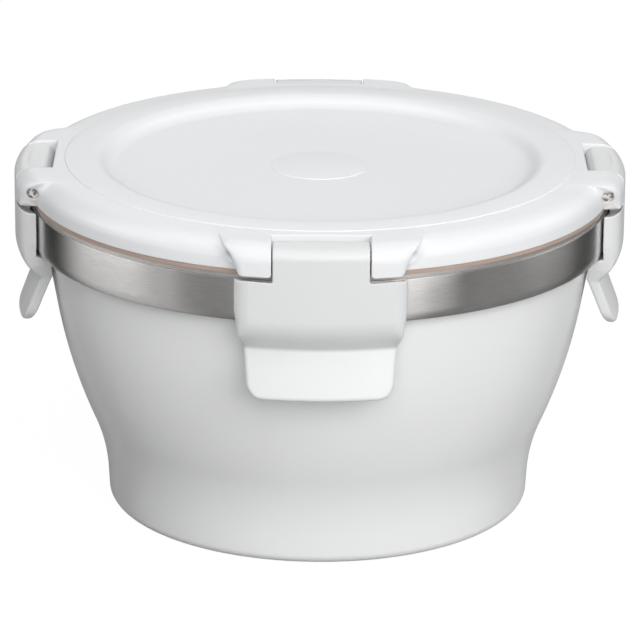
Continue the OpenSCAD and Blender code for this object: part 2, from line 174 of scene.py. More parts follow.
def arc(cx, cz, radius, start, end, steps):
    """Points along a circular arc, with its angles in degrees."""
    turns = np.radians(np.linspace(start, end, steps + 1))
    return [(cx + radius * math.cos(t), cz + radius * math.sin(t)) for t in turns]


def polygon_distance(outline, x, y):
    """Distance from points (x, y) to a closed outline, negative inside it."""
    nearest = np.full(x.shape, 1e9)
    sign = np.ones(x.shape)
    for (ax, ay), (bx, by) in zip(outline, outline[1:] + outline[:1]):
        ex, ey = bx - ax, by - ay
        length = ex * ex + ey * ey
        if length < 1e-12:
            continue
        wx, wy = x - ax, y - ay
        along = np.clip((wx * ex + wy * ey) / length, 0, 1)
        nearest = np.minimum(nearest, (wx - ex * along) ** 2 + (wy - ey * along) ** 2)
        above, below, left = y >= ay, y < by, ex * wy > ey * wx
        crossing = (above & below & left) | (~above & ~below & ~left)
        sign = np.where(crossing, -sign, sign)
    return sign * np.sqrt(nearest)


def round_both(a, b, radius):
    """Distance to what lies in both shapes, with the edge between them rounded."""
    corner = np.hypot(np.maximum(radius + a, 0), np.maximum(radius + b, 0))
    return np.minimum(-radius, np.maximum(a, b)) + corner


# Meshes

def new_object(name, vertices, faces, normals=None):
    """An object from vertices in millimetres."""
    mesh = bpy.data.meshes.new(name)
    mesh.from_pydata((np.asarray(vertices) * MM).tolist(), [], faces)
    mesh.validate()
    mesh.polygons.foreach_set("use_smooth", np.ones(len(mesh.polygons), bool))
    if normals is not None:
        mesh.normals_split_custom_set_from_vertices(normals.tolist())
    mesh.update()
    made = bpy.data.objects.new(name, mesh)
    bpy.context.scene.collection.objects.link(made)
    return made


def turned(name, outline, segments=288, sharp_angle=35, turns=None):
    """A closed outline of (radius, height) points, turned about the axis."""
    count = len(outline)
    if turns is None:
        turns = np.linspace(0, 2 * math.pi, segments, endpoint=False)
    segments = len(turns)
    radius = np.array([p[0] for p in outline])
    height = np.array([p[1] for p in outline])
    vertices = np.stack([
        np.outer(np.cos(turns), radius),
        np.outer(np.sin(turns), radius),
        np.tile(height, (segments, 1))], axis=-1).reshape(-1, 3)
    faces = []
    for s in range(segments):
        here, there = s * count, (s + 1) % segments * count
        for p in range(count):
            q = (p + 1) % count
            if radius[p] < 1e-6 and radius[q] < 1e-6:
                continue
            corners = [here + p, there + p, there + q, here + q]
            if radius[p] < 1e-6:
                corners.pop(1)
            if radius[q] < 1e-6:
                corners.pop(2)
            faces.append(corners)
    made = new_object(name, vertices, faces)
    weld(made)
    made.data.set_sharp_from_angle(angle=math.radians(sharp_angle))
    return made


def weld(made):
    """Joins vertices that lie on one another and turns all faces outward."""
    shape = bmesh.new()
    shape.from_mesh(made.data)
    bmesh.ops.remove_doubles(shape, verts=shape.verts, dist=1e-7)
    bmesh.ops.recalc_face_normals(shape, faces=shape.faces)
    shape.to_mesh(made.data)
    shape.free()


CORNERS = np.array([(i, j, k) for i in (0, 1) for j in (0, 1) for k in (0, 1)])
EDGES = [(a, b) for a in range(8) for b in range(a + 1, 8)
         if np.abs(CORNERS[a] - CORNERS[b]).sum() == 1]


def gradient(field, points, step=0.01):
    """Slope of a field at each point."""
    slope = np.empty_like(points)
    for axis in range(3):
        ahead, behind = points.copy(), points.copy()
        ahead[:, axis] += step
        behind[:, axis] -= step
        slope[:, axis] = (field(ahead) - field(behind)) / (2 * step)
    return slope


def skin(name, field, place, grids, closes=False):
    """A mesh of the surface where a field is zero, with the field's own normals.

    grids are three rising rows of grid lines, and place turns them into points, right-handed.
    With closes, the last step of the first row repeats its first step.
    """
    a, b, c = np.meshgrid(*grids, indexing="ij")
    lattice = place(a, b, c)
    value = field(lattice.reshape(-1, 3)).reshape(a.shape)
    inside = value < 0
    shape = np.array(inside.shape) - 1
    count = np.zeros(shape, int)
    for i, j, k in CORNERS:
        count += inside[i:i + shape[0], j:j + shape[1], k:k + shape[2]]
    cells = np.argwhere((count > 0) & (count < 8))
    at = [tuple((cells + corner).T) for corner in CORNERS]
    total = np.zeros((len(cells), 3))
    crossings = np.zeros(len(cells))
    for s, e in EDGES:
        start, end = value[at[s]], value[at[e]]
        crossed = (start < 0) != (end < 0)
        share = np.where(crossed, start / np.where(crossed, start - end, 1), 0)[:, None]
        point = lattice[at[s]] * (1 - share) + lattice[at[e]] * share
        total += np.where(crossed[:, None], point, 0)
        crossings += crossed
    points = total / crossings[:, None]
    number = np.full(shape, -1)
    number[tuple(cells.T)] = np.arange(len(cells))
    if closes:
        number[-1] = number[0]
    faces = []
    for axis in range(3):
        u, v = (axis + 1) % 3, (axis + 2) % 3
        low = [slice(1, -1)] * 3
        low[axis] = slice(0, -1)
        high = list(low)
        high[axis] = slice(1, None)
        first, second = inside[tuple(low)], inside[tuple(high)]
        spots = np.argwhere(first != second)
        leaving = first[tuple(spots.T)]
        spots[:, u] += 1
        spots[:, v] += 1
        ring = []
        for du, dv in ((0, 0), (1, 0), (1, 1), (0, 1)):
            cell = spots.copy()
            cell[:, u] -= du
            cell[:, v] -= dv
            ring.append(number[tuple(cell.T)])
        ring = np.stack(ring, axis=1)
        ring[~leaving] = ring[~leaving][:, ::-1]
        faces.append(ring)
    faces = np.concatenate(faces)
    for _ in range(4):
        slope = gradient(field, points)
        steep = np.maximum((slope ** 2).sum(1), 0.05)
        move = slope * (field(points) / steep)[:, None]
        reach = np.maximum(np.linalg.norm(move, axis=1) / 0.15, 1)
        points = points - move / reach[:, None]
    normals = gradient(field, points)
    normals /= np.maximum(np.linalg.norm(normals, axis=1), 1e-9)[:, None]
    used = np.unique(faces)
    renumber = np.full(len(points), -1)
    renumber[used] = np.arange(len(used))
    return new_object(name, points[used], renumber[faces].tolist(), normals[used])


# The bowl's curved side

def side_points(inset):
    """The side of the bowl from its foot wall up to the collar, moved inward by a wall."""
    flare_rise = FLARE_ROUND * (math.sin(FLARE_TILT) - math.sin(FOOT_DRAFT))
    flare_run = FLARE_ROUND * (math.cos(FOOT_DRAFT) - math.cos(FLARE_TILT))
    belly_rise = BELLY_ROUND * (math.sin(FLARE_TILT) - math.sin(NECK_TILT))
    belly_run = BELLY_ROUND * (math.cos(NECK_TILT) - math.cos(FLARE_TILT))
    belly_z = FOOT_WALL_H + flare_rise
    straight_z = belly_z + belly_rise
    belly_r = NECK_R - (COLLAR_LOW - straight_z) * math.tan(NECK_TILT) - belly_run
    flare_r = belly_r - flare_run
    foot_r = flare_r - (FOOT_WALL_H - FOOT_ROUND) * math.tan(FOOT_DRAFT)
    foot = [(foot_r - inset / math.cos(FOOT_DRAFT), FOOT_ROUND)]
    flare = arc(
        flare_r + FLARE_ROUND * math.cos(FOOT_DRAFT),
        FOOT_WALL_H - FLARE_ROUND * math.sin(FOOT_DRAFT),
        FLARE_ROUND + inset, 180 - math.degrees(FOOT_DRAFT), 180 - math.degrees(FLARE_TILT), 24)
    belly = arc(
        belly_r - BELLY_ROUND * math.cos(FLARE_TILT),
        belly_z + BELLY_ROUND * math.sin(FLARE_TILT),
        BELLY_ROUND - inset, -math.degrees(FLARE_TILT), -math.degrees(NECK_TILT), 24)
    return foot + flare + belly + [(NECK_R - inset, COLLAR_LOW)], foot_r


def make_shell():
    outer, foot_r = side_points(0)
    inner, _ = side_points(SHEET_T)
    centre = foot_r - FOOT_ROUND
    outline = (
        [(centre - FOOT_RING_W, 0)]
        + arc(centre, FOOT_ROUND, FOOT_ROUND, -90, 0, 12)
        + outer
        + [(NECK_R, COLLAR_TOP), (NECK_R - SHEET_T, COLLAR_TOP)]
        + inner[::-1]
        + arc(centre, FOOT_ROUND, FOOT_ROUND - SHEET_T, 0, -90, 8)
        + [(centre - FOOT_RING_W, SHEET_T)])
    return turned("coated_shell", outline)


def make_collar():
    low, top = COLLAR_LOW_ROUND, COLLAR_TOP_ROUND
    high = BOWL_H - RIM_EDGE_H
    turn = math.radians(COLLAR_ROLL_TURN)
    in_r = COLLAR_R - COLLAR_ROLL * (1 - math.cos(turn)) - low * math.cos(turn)
    roll_z = COLLAR_LOW + low + (COLLAR_ROLL - low) * math.sin(turn)
    outline = (
        [(NECK_R, COLLAR_LOW)]
        + arc(in_r, COLLAR_LOW + low, low, -90, -COLLAR_ROLL_TURN, 8)
        + arc(COLLAR_R - COLLAR_ROLL, roll_z, COLLAR_ROLL, -COLLAR_ROLL_TURN, 0, 8)
        + arc(COLLAR_R - top, high - top, top, 0, 90, 6)
        + [(NECK_R, high)])
    return turned("steel_collar", outline, 360)


def liner_face(inset, low, corner):
    """Floor, rounded corner and side of the liner, moved inward from the shell."""
    side, _ = side_points(inset)
    z = low + corner
    above = [p for p in side if p[1] > z + SHEET_T]
    under = [p for p in side if p[1] <= z][-1]
    share = (z - under[1]) / (above[0][1] - under[1])
    r = under[0] + (above[0][0] - under[0]) * share
    return [(0, low)] + arc(r - corner, z, corner, -90, 0, 14) + above


def make_liner():
    """The inner bowl with its turned-out rim, whose folded edge shows as a narrow band."""
    outer = SHEET_T + VACUUM_GAP
    mouth = NECK_R - outer - SHEET_T
    r = RIM_EDGE_ROUND
    outline = (
        liner_face(outer, FLOOR_Z, BOWL_CORNER + SHEET_T)
        + [(NECK_R - outer, COLLAR_TOP), (RIM_R - 1.2, COLLAR_TOP),
           (RIM_R - 1.2, BOWL_H - RIM_EDGE_H)]
        + arc(RIM_R - r, BOWL_H - RIM_EDGE_H + r, r, -90, 0, 4)
        + arc(RIM_R - r, BOWL_H - r, r, 0, 90, 4)
        + arc(mouth + RIM_T, BOWL_H - RIM_T, RIM_T, 90, 180, 8)
        + liner_face(outer + SHEET_T, FLOOR_Z + SHEET_T, BOWL_CORNER)[::-1])
    return turned("steel_liner", outline, 360)


def make_seal():
    """The silicone ring, hollowed on top where the four tongues swing."""
    r = SEAL_ROUND
    top = [(x, LID_LOW) for x in np.linspace(SEAL_R - r, SEAL_IN, 28)]
    outline = (
        [(SEAL_IN, BOWL_H)]
        + arc(SEAL_R - r, BOWL_H + r, r, -90, 0, 4)
        + arc(SEAL_R - r, LID_LOW - r, r, 0, 90, 4)
        + top[1:])
    half = math.degrees(math.asin((TONGUE_HALF + TONGUE_GAP) / SEAL_R))
    quarter = np.concatenate([
        [-half - 0.02], np.linspace(-half, half, 13), [half + 0.02],
        np.linspace(half, 90 - half, 61)[1:-1]])
    turns = np.radians(np.concatenate([quarter + 90 * n - 90 for n in range(4)]))
    piece = turned("silicone_seal", outline, turns=turns)
    for vertex in piece.data.vertices:
        place = np.array([vertex.co[:]]) / MM
        along, out, z = (float(v[0]) for v in to_lug(place))
        room = (NOSE_R + SWING_GAP) ** 2 - (out - PIN_OUT) ** 2
        if room > 0 and abs(along) < TONGUE_HALF + TONGUE_GAP + 0.01:
            vertex.co.z = min(z, PIN_Z - math.sqrt(room)) * MM
    return piece


# The lid

def shoulder_outline():
    """Section of the plain skirt: border that falls a little, rounded shoulder, upright wall."""
    edge = SKIRT_EDGE
    inner = SKIRT_R - SKIRT_T
    fall = math.atan(BORDER_FALL / (SKIRT_R - SHOULDER_ROUND - STEP_R))
    centre_r = SKIRT_R - SHOULDER_ROUND
    centre_z = LID_TOP - BORDER_FALL - SHOULDER_ROUND / math.cos(fall)
    return (
        [(STEP_R - 0.6, LID_TOP)]
        + arc(centre_r, centre_z, SHOULDER_ROUND, 90 - math.degrees(fall), 0, 20)
        + arc(SKIRT_R - edge, LID_LOW + edge, edge, 0, -90, 4)
        + [(inner, LID_LOW), (inner, LID_TOP - LID_T - SKIRT_T),
           (inner - SKIRT_T, LID_TOP - LID_T), (STEP_R - 0.6, LID_TOP - LID_T)])


def lug_outline():
    """Section of a lug: flat top, round shoulder, upright face."""
    edge = LUG_FOOT_EDGE
    root = PIN_OUT - LUG_ROOT_DEPTH
    top_z = LID_TOP - LUG_SINK
    return (
        [(STEP_R - 0.6, LID_TOP), (STEP_R + 1, LID_TOP)]
        + arc(LUG_R - LUG_ROUND, top_z - LUG_ROUND, LUG_ROUND, 90, 0, 20)
        + arc(LUG_R - edge, LUG_LOW + edge, edge, 0, -90, 4)
        + [(COLLAR_R + 0.1, LUG_LOW), (COLLAR_R + 0.1, LID_LOW), (root, LID_LOW),
           (root, LID_TOP - LID_T), (STEP_R - 0.6, LID_TOP - LID_T)])


def to_lug(points):
    """Points as (along the nearest lug, outward, up)."""
    x, y, z = points.T
    turn = np.round((np.arctan2(y, x) + math.pi / 2) / (math.pi / 2)) * (math.pi / 2)
    cos, sin = np.cos(turn), np.sin(turn)
    return x * cos + y * sin, -(-x * sin + y * cos), z


SHOULDER = shoulder_outline()
LUG = lug_outline()


def lug_share(past, z):
    """How far the lid's section is drawn out toward the lug's, by the distance past its side.

    In plan this is a rounded upright edge that turns into a hollow, and both grow toward the top.
    """
    height = np.clip((z - LID_LOW) / (LID_H - LUG_SINK), 0, 1) ** LUG_FLARE_POWER
    joint = LUG_JOINT + (LUG_JOINT_TOP - LUG_JOINT) * height
    end = LUG_END + (LUG_END_TOP - LUG_END) * height
    near = np.clip((past + LUG_EDGE_IN) / (joint + LUG_EDGE_IN), 0, 1)
    far = np.clip((end - past) / (end - joint), 0, 1)
    convex = LUG_JOINT_SHARE + (1 - LUG_JOINT_SHARE) * np.sqrt(1 - near ** 2)
    concave = LUG_JOINT_SHARE * (1 - np.sqrt(1 - far ** 2))
    return np.where(past < joint, convex, concave)


def lid_field(points):
    """Distance to the lid's outer ring with its lugs, pockets and pin bores."""
    along, out, z = to_lug(points)
    radius = np.hypot(along, out)
    across = np.abs(along)
    share = lug_share(across - LUG_HALF, z)
    plain = polygon_distance(SHOULDER, radius, z)
    lug = polygon_distance(LUG, radius, z)
    body = plain * (1 - share) + lug * share
    from_pin = np.hypot(out - PIN_OUT, z - PIN_Z)
    pocket_r = NOSE_R + SWING_GAP
    behind = PIN_OUT - POCKET_DEPTH - out
    room = np.minimum(from_pin - pocket_r, np.maximum(behind, PIN_Z - z))
    low = PIN_OUT - pocket_r * POCKET_LOW_SHARE - out
    room = np.minimum(room, np.maximum(low, z - PIN_Z - POCKET_LOW_RISE))
    lift = np.clip(1 - (z - LUG_LOW) / LUG_CORNER, 0, 1)
    flare = LUG_CORNER * (1 - np.sqrt(1 - lift ** 2))
    room = np.maximum(room, across - TONGUE_HALF - TONGUE_GAP - flare)
    body = round_both(body, -room, POCKET_EDGE)
    return round_both(body, PIN_R + LID_BORE_GAP - from_pin, BORE_ROUND)


def ring_angles(step_near, step_far):
    """Turns round the axis, close together at the lugs and wider between them."""
    near = 30.0
    at_lug = np.arange(-near, near, step_near)
    between = np.arange(near, 90 - near, step_far)
    quarter = np.concatenate([at_lug, between])
    turns = np.concatenate([quarter + 90 * n for n in range(4)])
    return np.radians(np.concatenate([turns, turns[:2] + 360]))


def round_place(turn, height, radius):
    return np.stack([radius * np.sin(turn), -radius * np.cos(turn), height], axis=-1)


def make_lid_ring():
    grids = (
        ring_angles(math.degrees(LID_GRID / LUG_R), 1.0),
        np.arange(LUG_LOW - 0.55, LID_TOP + 0.6, LID_GRID),
        np.arange(STEP_R - 1.1, LUG_R + 0.6, LID_GRID))
    return skin("lid_ring", lid_field, round_place, grids, closes=True)


def make_lid_top():
    """The ring inside the step, the slope and the dish with its bare disc."""
    dish_r = STEP_R - RING_W - SLOPE_W
    dish_z = RING_TOP - DISH_DEPTH
    turn = 2 * math.atan(DISH_DEPTH / SLOPE_W)
    bend = SLOPE_W / 2 / math.sin(turn)
    edge = STEP_ROUND
    outline = (
        [(0, dish_z + DISC_H)]
        + arc(DISC_R - DISC_H, dish_z, DISC_H, 90, 0, 6)
        + arc(dish_r, dish_z + bend, bend, -90, math.degrees(turn) - 90, 14)
        + arc(dish_r + SLOPE_W, RING_TOP - bend, bend, 90 + math.degrees(turn), 90, 14)
        + arc(STEP_R - edge, RING_TOP - edge, edge, 90, 0, 4)
        + [(STEP_R, LID_TOP - 1), (dish_r + SLOPE_W, LID_TOP - 1),
           (dish_r, dish_z - LID_T), (0, dish_z - LID_T)])
    return turned("lid_top", outline)


# The latches

def latch_outlines():
    """Section (radius, height) and front view (width, height) of a closed latch."""
    bend_z = COLLAR_TOP - BEND_DROP
    bend_r = PLATE_OUT - BEND_ROUND
    end = (bend_r + BEND_ROUND * math.cos(BEND_TURN), bend_z - BEND_ROUND * math.sin(BEND_TURN))
    neck = (end[0] - NECK_RUN * math.sin(BEND_TURN), end[1] - NECK_RUN * math.cos(BEND_TURN))
    sin, cos = math.sin(TAB_TILT), math.cos(TAB_TILT)
    tab = (neck[0] + TAB_L * sin, neck[1] - TAB_L * cos)
    cut = NECK_ROUND * math.tan((BEND_TURN + TAB_TILT) / 2)
    hollow = (neck[0] + cut * sin + NECK_ROUND * cos, neck[1] - cut * cos + NECK_ROUND * sin)
    tip = (tab[0] - TAB_T / 2 * cos, tab[1] - TAB_T / 2 * sin)
    neck_in = (neck[0] - TAB_T * cos, neck[1] - TAB_T * sin)
    hook_r, hook_z = COLLAR_R - HOOK_REACH, COLLAR_LOW - HOOK_GAP
    hook_tip_z = hook_z - HOOK_FALL
    lean, slope = math.tan(NECK_TILT), math.tan(TAB_TILT)
    rib_z = (neck_in[0] + neck_in[1] * slope - hook_r + hook_tip_z * lean) / (slope + lean)
    rib_r = hook_r - (hook_tip_z - rib_z) * lean
    top = PIN_Z + TONGUE_TOP
    tilt = math.degrees(TAB_TILT)
    section = (
        arc(PLATE_OUT - TONGUE_EDGE, top - TONGUE_EDGE, TONGUE_EDGE, 90, 0, 12)
        + arc(bend_r, bend_z, BEND_ROUND, 0, -math.degrees(BEND_TURN), 14)
        + arc(hollow[0], hollow[1], NECK_ROUND, 180 - math.degrees(BEND_TURN), 180 + tilt, 10)
        + arc(tip[0], tip[1], TAB_T / 2, tilt, tilt - 180, 12)
        + [(rib_r, rib_z), (hook_r, hook_tip_z - 0.2), (hook_r + 0.2, hook_tip_z + 0.04),
           (PLATE_IN, hook_z), (PLATE_IN, top)])
    waist = LATCH_HALF - PLATE_TAPER
    narrow = waist - NECK_STEP
    foot = narrow - TAB_TAPER
    low = tab[1] - TAB_T / 2
    half = (
        [(LATCH_HALF, top + 2), (LATCH_HALF, bend_z + PLATE_TAPER), (waist, end[1] + PLATE_TAPER),
         (narrow, neck[1])]
        + arc(foot - TAB_CORNER, low + TAB_CORNER, TAB_CORNER, 0, -90, 10))
    front = half + [(-x, z) for x, z in reversed(half)]
    return section, front, neck[1]


LATCH_SECTION, LATCH_FRONT, NECK_Z = latch_outlines()


def latch_field(points):
    """Distance to the closed front latch."""
    along, out, z = points[:, 0], -points[:, 1], points[:, 2]
    radius = np.hypot(along, out)
    section = polygon_distance(LATCH_SECTION, radius, z)
    front = polygon_distance(LATCH_FRONT, along, z)
    below = np.clip((NECK_Z + 2 - z) / 4, 0, 1)
    plate = round_both(section, front, LATCH_EDGE + (TAB_EDGE - LATCH_EDGE) * below)
    facet_x = LATCH_HALF - FACET_W
    facet_out = math.sqrt(PLATE_OUT ** 2 - facet_x ** 2)
    facet = (np.abs(along) - facet_x) * FACET_DEPTH + (out - facet_out) * FACET_W
    plate = round_both(plate, facet / math.hypot(FACET_W, FACET_DEPTH), FACET_ROUND)
    from_pin = np.hypot(out - PIN_OUT, z - PIN_Z)
    lug_face = np.sqrt(LUG_R ** 2 - np.minimum(along ** 2, LUG_FACE_REACH ** 2))
    swing_r = np.hypot(lug_face - PIN_OUT, PIN_Z - LUG_LOW) + SHOULDER_GAP
    relief = round_both(from_pin - swing_r, TONGUE_HALF - np.abs(along), RELIEF_CORNER)
    plate = round_both(plate, -relief, RELIEF_EDGE)
    knuckle = round_both(from_pin - NOSE_R, np.abs(along) - TONGUE_HALF, KNUCKLE_EDGE)
    body = np.minimum(plate, knuckle)
    body = round_both(body, z - PIN_Z - TONGUE_TOP, TONGUE_BACK_ROUND)
    return round_both(body, PIN_R + LATCH_BORE_GAP - from_pin, LATCH_BORE_ROUND)


def flat_place(x, y, z):
    return np.stack([x, y, z], axis=-1)


def make_latches():
    grids = (
        np.arange(-LATCH_HALF - 0.6, LATCH_HALF + 0.6 + LATCH_GRID, LATCH_GRID),
        np.arange(-PLATE_OUT - 0.6, -65.6, LATCH_GRID),
        np.arange(50.2, PIN_Z + TONGUE_TOP + 0.8, LATCH_GRID))
    first = skin("latch_cover_front", latch_field, flat_place, grids)
    made = [first]
    for turn, side in enumerate(SIDES[1:], start=1):
        copy = bpy.data.objects.new("latch_cover_" + side, first.data.copy())
        copy.data.transform(Matrix.Rotation(turn * math.pi / 2, 4, "Z"))
        bpy.context.scene.collection.objects.link(copy)
        made.append(copy)
    return made


# Materials

class Shader:
    """A node material with a Principled surface, and short ways to add nodes."""

    def __init__(self, name, colour, **sockets):
        self.material = bpy.data.materials.new(name)
        self.material.use_nodes = True
        self.tree = self.material.node_tree
        self.surface = self.tree.nodes["Principled BSDF"]
        self.surface.inputs["Base Color"].default_value = (*colour, 1)
        for socket, value in sockets.items():
            self.surface.inputs[socket.replace("_", " ")].default_value = value

    def node(self, kind, inputs=(), **settings):
        made = self.tree.nodes.new(kind)
        for key, value in settings.items():
            setattr(made, key, value)
        for key, value in dict(inputs).items():
            if isinstance(value, bpy.types.NodeSocket):
                self.tree.links.new(value, made.inputs[key])
            else:
                made.inputs[key].default_value = value
        return made

    def place(self, scale=(1, 1, 1)):
        """Object coordinates, stretched by scale."""
        where = self.node("ShaderNodeTexCoord").outputs["Object"]
        return self.node("ShaderNodeMapping", {"Vector": where, "Scale": scale}).outputs[0]

    def round_place(self, along, up):
        """Coordinates that run along the circumference and up the wall."""
        where = self.node("ShaderNodeTexCoord").outputs["Object"]
        split = self.node("ShaderNodeSeparateXYZ", {0: where})
        turn = self.node("ShaderNodeMath", {0: split.outputs[1], 1: split.outputs[0]},
                         operation="ARCTAN2")
        spin = self.node("ShaderNodeMath", {0: turn.outputs[0], 1: along}, operation="MULTIPLY")
        rise = self.node("ShaderNodeMath", {0: split.outputs[2], 1: up}, operation="MULTIPLY")
        out = self.node("ShaderNodeMath", {0: self.length(split), 1: up}, operation="MULTIPLY")
        joined = self.node("ShaderNodeCombineXYZ",
                           {0: spin.outputs[0], 1: rise.outputs[0], 2: out.outputs[0]})
        return joined.outputs[0]

    def length(self, split):
        flat = self.node("ShaderNodeCombineXYZ", {0: split.outputs[0], 1: split.outputs[1]})
        return self.node("ShaderNodeVectorMath", {0: flat.outputs[0]},
                         operation="LENGTH").outputs["Value"]

    def noise(self, place, scale, detail=3.0, roughness=0.5):
        return self.node("ShaderNodeTexNoise", {
            "Vector": place, "Scale": scale, "Detail": detail, "Roughness": roughness,
        }).outputs[0]

    def span(self, value, low, high):
        """A noise value moved into a range."""
        return self.node("ShaderNodeMapRange", {
            "Value": value, "From Min": 0.3, "From Max": 0.7, "To Min": low, "To Max": high,
        }).outputs[0]

    def mix(self, share, first, second):
        made = self.node("ShaderNodeMix", {0: share}, data_type="RGBA")
        made.inputs[6].default_value = (*first, 1)
        made.inputs[7].default_value = (*second, 1)
        return made.outputs[2]

    def set(self, socket, value):
        self.tree.links.new(value, self.surface.inputs[socket])

    def bump(self, height, distance, strength=1.0):
        """Adds a bump over those set before it."""
        inputs = {"Height": height, "Distance": distance * MM, "Strength": strength}
        links = self.surface.inputs["Normal"].links
        if links:
            inputs["Normal"] = links[0].from_socket
        self.set("Normal", self.node("ShaderNodeBump", inputs).outputs[0])


def moulded_plastic(name, colour, shade, roughness):
    """White moulded plastic: fine satin texture, faint flow marks, even colour."""
    made = Shader(name, colour, Specular_IOR_Level=0.45)
    place = made.place()
    broad = made.noise(place, 28, 2)
    made.set("Base Color", made.mix(made.span(broad, 0, 1), colour, shade))
    fine = made.noise(place, 2600, 2)
    middle = made.noise(place, 420, 3)
    made.set("Roughness", made.span(middle, roughness - 0.035, roughness + 0.035))
    made.bump(fine, 0.012)
    made.bump(made.noise(place, 60, 1), 0.05, 0.25)
    return made.material


def coated_steel():
    """White baked coating with a faint orange peel."""
    colour, shade = (0.855, 0.86, 0.865), (0.835, 0.84, 0.845)
    made = Shader("white_coating", colour, Specular_IOR_Level=0.4, Coat_Weight=0.08,
                  Coat_Roughness=0.12)
    place = made.place()
    made.set("Base Color", made.mix(made.span(made.noise(place, 22, 2), 0, 1), colour, shade))
    made.set("Roughness", made.span(made.noise(place, 300, 3), 0.34, 0.42))
    made.bump(made.noise(place, 900, 2), 0.006)
    return made.material


def brushed_steel(name, colour, roughness, stretch=0.92, lines=7000.0, depth=0.0002):
    """Steel brushed round the axis: fine lines along the circumference."""
    made = Shader(name, colour, Metallic=1.0, Anisotropic=stretch, Anisotropic_Rotation=0.25)
    tangent = made.node("ShaderNodeTangent", direction_type="RADIAL", axis="Z")
    made.set("Tangent", tangent.outputs[0])
    streaks = made.noise(made.round_place(18.0, lines), 1, 2, 0.6)
    broad = made.noise(made.round_place(4.0, lines / 8), 1, 2)
    dark = tuple(c * 0.80 for c in colour)
    made.set("Base Color", made.mix(made.span(streaks, 0, 1), dark, colour))
    made.set("Roughness", made.span(broad, roughness - 0.015, roughness + 0.015))
    made.bump(streaks, depth)
    return made.material


def plain_steel(name, colour, roughness, grain):
    """Spun or drawn steel with a faint even grain."""
    made = Shader(name, colour, Metallic=1.0)
    place = made.place()
    dark = tuple(c * 0.8 for c in colour)
    made.set("Base Color", made.mix(made.span(made.noise(place, grain, 3), 0, 1), dark, colour))
    made.set("Roughness", made.span(made.noise(place, grain, 3), roughness - 0.05, roughness + 0.05))
    made.bump(made.noise(place, grain * 2, 2), 0.006)
    return made.material


def cut_steel(name, colour, grain):
    """The rough-cut end of a steel pin: mottled, with a torn grain."""
    made = Shader(name, colour, Metallic=1.0)
    place = made.place()
    torn = made.noise(place, grain, 3, 0.6)
    dark = tuple(c * 0.25 for c in colour)
    share = made.node("ShaderNodeMapRange", {
        "Value": torn, "From Min": 0.42, "From Max": 0.56, "To Min": 0.0, "To Max": 1.0})
    made.set("Base Color", made.mix(share.outputs[0], dark, colour))
    made.set("Roughness", made.span(made.noise(place, grain * 2, 2), 0.42, 0.62))
    made.bump(torn, 0.12)
    return made.material


def silicone():
    colour, shade = (0.46, 0.355, 0.30), (0.42, 0.32, 0.27)
    made = Shader("seal_silicone", colour, Specular_IOR_Level=0.35, Subsurface_Weight=0.05,
                  Subsurface_Scale=0.002)
    place = made.place()
    made.set("Base Color", made.mix(made.span(made.noise(place, 90, 3), 0, 1), colour, shade))
    made.set("Roughness", made.span(made.noise(place, 700, 2), 0.5, 0.62))
    made.bump(made.noise(place, 1500, 2), 0.01)
    return made.material


def finish(piece, material):
    piece.data.materials.clear()
    piece.data.materials.append(material)


# The studio

# Panels as reflections show them: azimuth (0 in front, 90 to the right) and glow
PANELS = (
    (-180, 0.30), (-152, 0.30), (-150, 0.95), (-145, 0.95), (-142, 0.0), (-126, 0.0),
    (-119, 0.24), (-112, 0.60), (-59, 0.55), (-56, 0.27), (-36, 0.27), (-30, 0.45), (34, 0.46),
    (36, 0.56), (41, 0.52), (44, 0.06), (56, 0.10), (66, 0.30), (112, 0.20), (122, 0.02),
    (141, 0.02), (145, 0.95), (150, 0.95), (152, 0.30), (180, 0.30))

LENS_PIXELS = 4349.4
PICTURE = 640
EYE = (-6.82, -1066.5, 406.8)
EYE_PITCH = 0.32589
EYE_YAW = 0.00668
EYE_ROLL = 0.00786


def make_camera():
    """The photograph's view: a long lens a metre away, looking down by about 19 degrees."""
    ahead = Vector((math.sin(EYE_YAW) * math.cos(EYE_PITCH),
                    math.cos(EYE_YAW) * math.cos(EYE_PITCH), -math.sin(EYE_PITCH)))
    level = Vector((math.cos(EYE_YAW), -math.sin(EYE_YAW), 0))
    up = level.cross(ahead)
    right = math.cos(EYE_ROLL) * level + math.sin(EYE_ROLL) * up
    top = -math.sin(EYE_ROLL) * level + math.cos(EYE_ROLL) * up
    turn = Matrix((right, top, -ahead)).transposed().to_4x4()
    data = bpy.data.cameras.new("camera")
    data.sensor_width = 36
    data.lens = LENS_PIXELS / PICTURE * data.sensor_width
    data.clip_start = 0.05
    data.clip_end = 20
    camera = bpy.data.objects.new("camera", data)
    camera.matrix_world = Matrix.Translation(Vector(EYE) * MM) @ turn
    bpy.context.scene.collection.objects.link(camera)
    bpy.context.scene.camera = camera


def make_floor():
    half = FLOOR_HALF
    mesh = bpy.data.meshes.new("floor")
    corners = [(-half, -half, 0), (half, -half, 0), (half, half, 0), (-half, half, 0)]
    mesh.from_pydata(corners, [], [(0, 1, 2, 3)])
    floor = bpy.data.objects.new("floor", mesh)
    bpy.context.scene.collection.objects.link(floor)
    made = Shader("floor_white", (0.9, 0.9, 0.9), Roughness=0.9, Specular_IOR_Level=0.1)
    path = made.node("ShaderNodeLightPath")
    made.set("Base Color", made.mix(path.outputs["Is Camera Ray"], (0.45, 0.45, 0.45),
                                    (0.9, 0.9, 0.9)))
    glow = made.node("ShaderNodeEmission", {"Color": (1, 1, 1, 1), "Strength": 1.03})
    share = made.node("ShaderNodeMath", {0: path.outputs["Is Camera Ray"], 1: 0.94},
                      operation="MULTIPLY")
    both = made.node("ShaderNodeMixShader", {0: share.outputs[0], 1: made.surface.outputs[0],
                                             2: glow.outputs[0]})
    made.tree.links.new(both.outputs[0], made.tree.nodes["Material Output"].inputs[0])
    finish(floor, made.material)
    floor.visible_glossy = False


